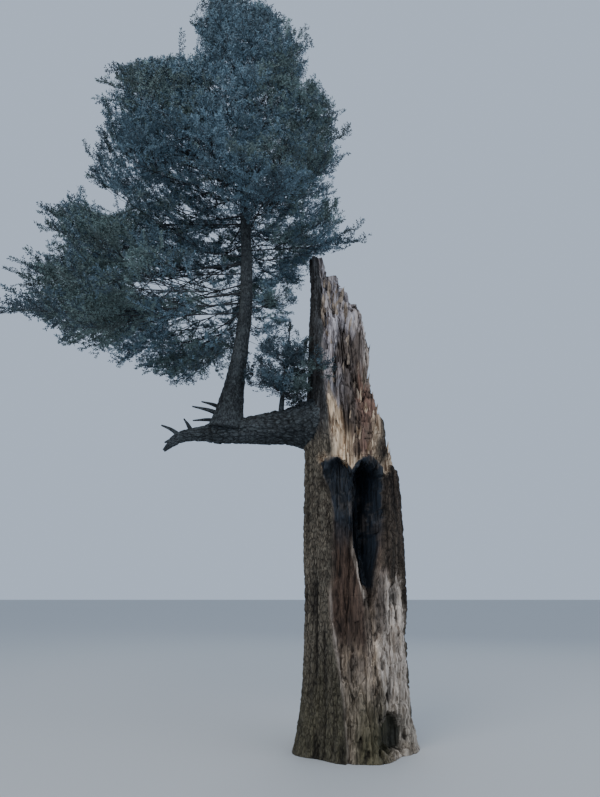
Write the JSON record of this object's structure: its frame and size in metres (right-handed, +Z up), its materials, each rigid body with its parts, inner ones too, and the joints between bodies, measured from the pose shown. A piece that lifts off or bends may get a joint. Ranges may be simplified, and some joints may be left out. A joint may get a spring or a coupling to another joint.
{
  "type": "broken fir tree with a living leader",
  "caption": "Broken fir trunk with a charred hollow and a torn top. A thick bough on its side lives on and carries an upright leader with a full evergreen crown.",
  "frame": {"origin": "middle of the flat cut under the trunk, at ground level", "axes": "+Z up the trunk, the charred hollow faces -Y, and the living bough reaches out towards -X"},
  "size_m": [4.5914, 2.5579, 10.0101],
  "materials": {
    "bark": "rough plated bark over torn, weathered grey and tan wood, charred in the hollow",
    "limb_bark": "rough dark bark",
    "needles": "matte dark blue-green needles"
  },
  "bodies": {
    "root": {"trunk": "bark", "living_bough": "limb_bark", "leader": "limb_bark", "young_stem": "limb_bark", "whorl_1_bough_1": "needles", "whorl_1_bough_4": "needles", "whorl_1_bough_5": "needles", "whorl_2_bough_2": "needles", "whorl_2_bough_3": "needles", "whorl_2_bough_4": "needles", "whorl_2_bough_5": "needles", "whorl_3_bough_1": "needles", "whorl_3_bough_2": "needles", "whorl_3_bough_3": "needles", "whorl_3_bough_4": "needles", "whorl_3_bough_5": "needles", "whorl_4_bough_1": "needles", "whorl_4_bough_2": "needles", "whorl_4_bough_3": "needles", "whorl_4_bough_4": "needles", "whorl_4_bough_5": "needles", "whorl_5_bough_1": "needles", "whorl_5_bough_2": "needles", "whorl_5_bough_3": "needles", "whorl_5_bough_4": "needles", "whorl_5_bough_5": "needles", "whorl_6_bough_1": "needles", "whorl_6_bough_2": "needles", "whorl_6_bough_3": "needles", "whorl_6_bough_4": "needles", "whorl_6_bough_5": "needles", "whorl_7_bough_1": "needles", "whorl_7_bough_2": "needles", "whorl_7_bough_3": "needles", "whorl_7_bough_4": "needles", "whorl_8_bough_1": "needles", "whorl_8_bough_2": "needles", "whorl_8_bough_3": "needles", "whorl_8_bough_4": "needles", "whorl_9_bough_1": "needles", "whorl_9_bough_2": "needles", "whorl_9_bough_3": "needles", "whorl_9_bough_4": "needles", "whorl_10_bough_1": "needles", "whorl_10_bough_2": "needles", "whorl_10_bough_3": "needles", "whorl_11_bough_1": "needles", "whorl_11_bough_2": "needles", "loose_bough_1": "needles", "loose_bough_2": "needles", "loose_bough_3": "needles", "loose_bough_4": "needles", "loose_bough_5": "needles", "loose_bough_6": "needles", "young_bough_1": "needles", "young_bough_2": "needles", "young_bough_3": "needles", "young_bough_4": "needles", "young_bough_5": "needles", "young_bough_6": "needles"}
  },
  "joints": []
}
